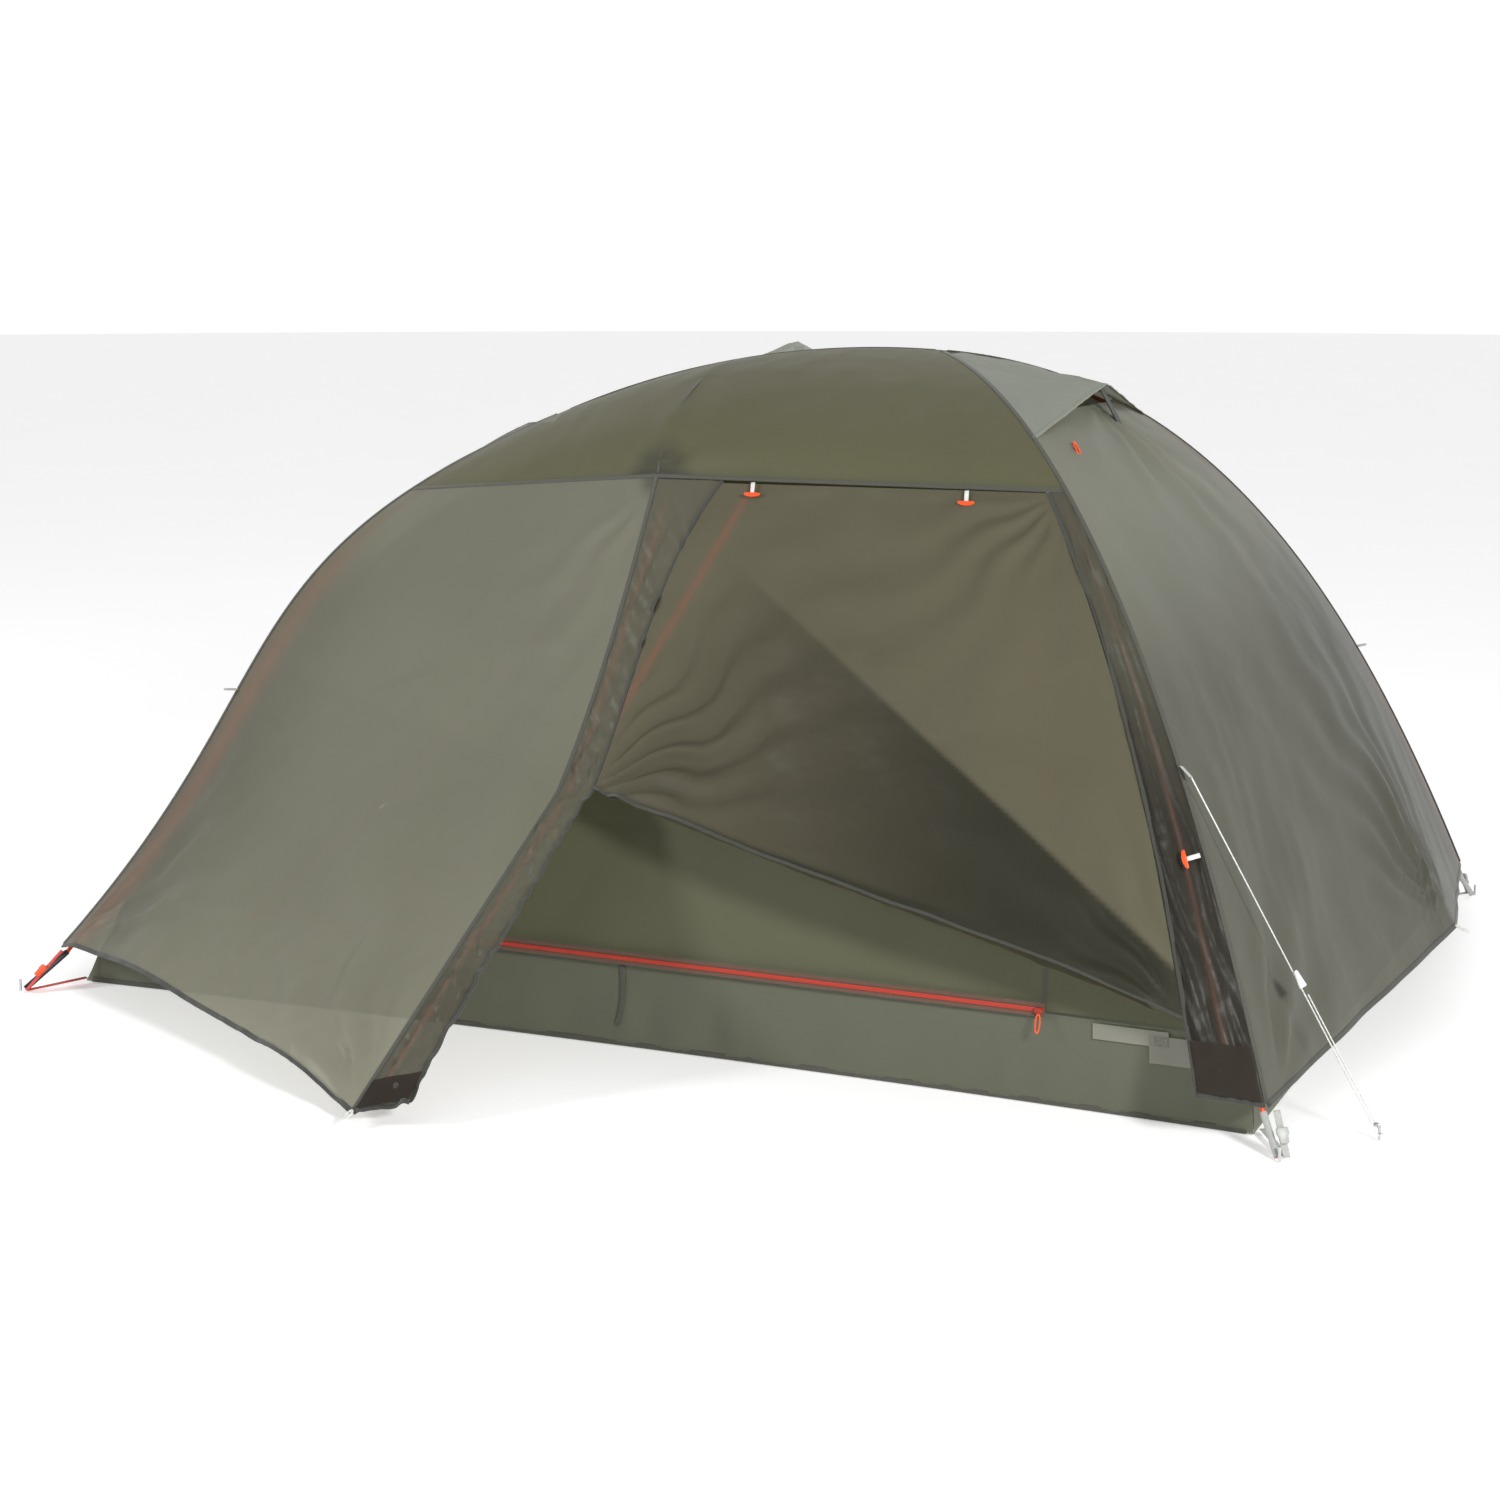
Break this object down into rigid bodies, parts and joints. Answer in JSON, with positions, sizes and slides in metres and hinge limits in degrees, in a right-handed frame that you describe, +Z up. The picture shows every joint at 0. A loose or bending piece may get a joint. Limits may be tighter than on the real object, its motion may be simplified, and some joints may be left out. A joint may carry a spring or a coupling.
{
  "type": "backpacking tent",
  "caption": "Freestanding double-wall backpacking tent pitched on hubbed poles, rainfly on, near vestibule door partly unzipped",
  "frame": {"origin": "on the ground under the middle of the tent", "axes": "+X to the head end, -Y out of the near door, +Z up"},
  "size_m": [2.6889, 2.7752, 1.2224],
  "materials": {
    "fly": "translucent grey-green ripstop, coated",
    "vent_cloth": "lighter grey-green ripstop",
    "inner_cloth": "light olive uncoated nylon",
    "floor_cloth": "pale olive coated nylon",
    "pole": "orange-red anodised tube",
    "hub": "black moulded",
    "zip": "red coil zip",
    "toggle": "orange moulded bar on a pale strap",
    "webbing_red": "red woven webbing",
    "webbing_grey": "grey woven webbing",
    "buckle_orange": "orange moulded",
    "buckle_grey": "grey moulded",
    "cord": "pale braided cord",
    "peg": "bare aluminium",
    "strut": "black hook-and-loop strap, stiffened"
  },
  "bodies": {
    "pitched_tent": {"brow_pole": "pole", "brow_swivel": "hub", "far_fly_zip": "zip", "far_foot_panel": "fly", "far_head_strip": "fly", "far_inner_zip": "zip", "far_storm_flap": "fly", "far_vent_hood": "vent_cloth", "floor_tub": "floor_cloth", "fly_foot_wall": "fly", "fly_head_wall": "fly", "fly_roof_far": "fly", "fly_roof_near": "fly", "foot_far_corner_webbing": "webbing_red", "foot_far_leg": "pole", "foot_hub": "hub", "foot_near_corner_webbing": "webbing_red", "foot_near_leg": "pole", "guy_loop": "webbing_grey", "guy_peg": "peg", "guyline": "cord", "head_far_corner_webbing": "webbing_grey", "head_far_leg": "pole", "head_hub": "hub", "head_near_corner_webbing": "webbing_grey", "head_near_leg": "pole", "head_vent_hood": "vent_cloth", "inner_far_wall": "inner_cloth", "inner_foot_wall": "inner_cloth", "inner_head_wall": "inner_cloth", "inner_near_wall": "inner_cloth", "inner_roof": "inner_cloth", "near_fly_zip": "zip", "near_foot_panel": "fly", "near_head_strip": "fly", "near_head_zip": "zip", "near_inner_zip": "zip", "near_storm_flap": "fly", "ridge_pole": "pole"},
    "near_door": {"near_door_panel": "fly", "near_door_corner": "fly"},
    "far_door": {"far_door_panel": "fly"},
    "near_inner_door": {"near_inner_door": "inner_cloth"},
    "far_inner_door": {"far_inner_door": "inner_cloth"},
    "near_fly_slider": {"near_fly_slider": "zip"},
    "far_fly_slider": {"far_fly_slider": "zip"},
    "near_head_slider": {"near_head_slider": "zip"},
    "near_inner_slider": {"near_inner_slider": "zip"},
    "far_inner_slider": {"far_inner_slider": "zip"},
    "near_foot_toggle": {"near_foot_toggle": "toggle"},
    "near_head_toggle": {"near_head_toggle": "toggle"},
    "door_tie": {"door_tie": "toggle"},
    "head_vent_strut": {"head_vent_strut": "strut"},
    "far_vent_strut": {"far_vent_strut": "strut"},
    "guy_tensioner": {"guy_tensioner": "cord"},
    "head_near_corner_buckle": {"head_near_corner_buckle": "buckle_grey"},
    "head_far_corner_buckle": {"head_far_corner_buckle": "buckle_grey"},
    "foot_near_corner_buckle": {"foot_near_corner_buckle": "buckle_orange"},
    "foot_far_corner_buckle": {"foot_far_corner_buckle": "buckle_orange"}
  },
  "joints": [
    {"name": "near_door_lift", "type": "hinge", "parent": "pitched_tent", "child": "near_door", "pos_m": [-0.118, -0.413, 0.9915], "axis": [-0.9981, 0.0609, -0.0055], "range_deg": [0, 80]},
    {"name": "far_door_lift", "type": "hinge", "parent": "pitched_tent", "child": "far_door", "pos_m": [-0.118, 0.413, 0.9915], "axis": [0.9981, 0.0609, 0.0055], "range_deg": [0, 80]},
    {"name": "near_inner_door_swing", "type": "hinge", "parent": "pitched_tent", "child": "near_inner_door", "pos_m": [-0.13512, -0.39509, 0.92525], "axis": [0.997, -0.0761, 0.0168], "range_deg": [0, 45]},
    {"name": "far_inner_door_swing", "type": "hinge", "parent": "pitched_tent", "child": "far_inner_door", "pos_m": [-0.13512, 0.39509, 0.92525], "axis": [-0.997, -0.0761, -0.0168], "range_deg": [0, 45]},
    {"name": "near_fly_slider_run", "type": "slide", "parent": "pitched_tent", "child": "near_fly_slider", "axis": [-0.0795, -0.825, -0.5595], "range_m": [0, 0.68]},
    {"name": "far_fly_slider_run", "type": "slide", "parent": "pitched_tent", "child": "far_fly_slider", "axis": [0.0795, -0.825, 0.5595], "range_m": [0, 0.65]},
    {"name": "near_head_slider_run", "type": "hinge", "parent": "pitched_tent", "child": "near_head_slider", "pos_m": [-0.67067, 0.69266, -1.00894], "axis": [-0.677, -0.7353, 0.0322], "range_deg": [0, 20]},
    {"name": "near_inner_slider_run", "type": "slide", "parent": "pitched_tent", "child": "near_inner_slider", "axis": [-0.9998, 0.0223, 0], "range_m": [0, 1.55]},
    {"name": "far_inner_slider_run", "type": "slide", "parent": "pitched_tent", "child": "far_inner_slider", "axis": [-0.9998, -0.0223, 0], "range_m": [0, 1.55]},
    {"name": "near_foot_toggle_swing", "type": "hinge", "parent": "near_door", "child": "near_foot_toggle", "pos_m": [0.0904, -0.43602, 0.98752], "axis": [-1, 0, 0], "range_deg": [0, 70]},
    {"name": "near_head_toggle_swing", "type": "hinge", "parent": "near_door", "child": "near_head_toggle", "pos_m": [0.5164, -0.46203, 0.98986], "axis": [-1, 0, 0], "range_deg": [0, 70]},
    {"name": "door_tie_swing", "type": "hinge", "parent": "pitched_tent", "child": "door_tie", "pos_m": [1.04161, -0.79676, 0.44351], "axis": [-0.3761, 0.3496, 0.8581], "range_deg": [0, 60]},
    {"name": "head_vent_prop", "type": "hinge", "parent": "pitched_tent", "child": "head_vent_strut", "pos_m": [0.621, 0, 1.156], "axis": [0, 1, 0], "range_deg": [0, 50]},
    {"name": "far_vent_prop", "type": "hinge", "parent": "pitched_tent", "child": "far_vent_strut", "pos_m": [-0.118, 0.28041, 1.21244], "axis": [1, 0, 0], "range_deg": [0, 60]},
    {"name": "tensioner_run", "type": "slide", "parent": "pitched_tent", "child": "guy_tensioner", "axis": [-0.5198, 0.0797, 0.8506], "range_m": [0, 0.1]},
    {"name": "head_near_buckle_run", "type": "slide", "parent": "pitched_tent", "child": "head_near_corner_buckle", "axis": [0.3177, -0.2952, -0.901], "range_m": [0, 0.012]},
    {"name": "head_far_buckle_run", "type": "slide", "parent": "pitched_tent", "child": "head_far_corner_buckle", "axis": [0.3177, 0.2952, -0.901], "range_m": [0, 0.012]},
    {"name": "foot_near_buckle_run", "type": "slide", "parent": "pitched_tent", "child": "foot_near_corner_buckle", "axis": [-0.3845, -0.6341, -0.6708], "range_m": [0, 0.012]},
    {"name": "foot_far_buckle_run", "type": "slide", "parent": "pitched_tent", "child": "foot_far_corner_buckle", "axis": [-0.3845, 0.6341, -0.6708], "range_m": [0, 0.012]}
  ]
}
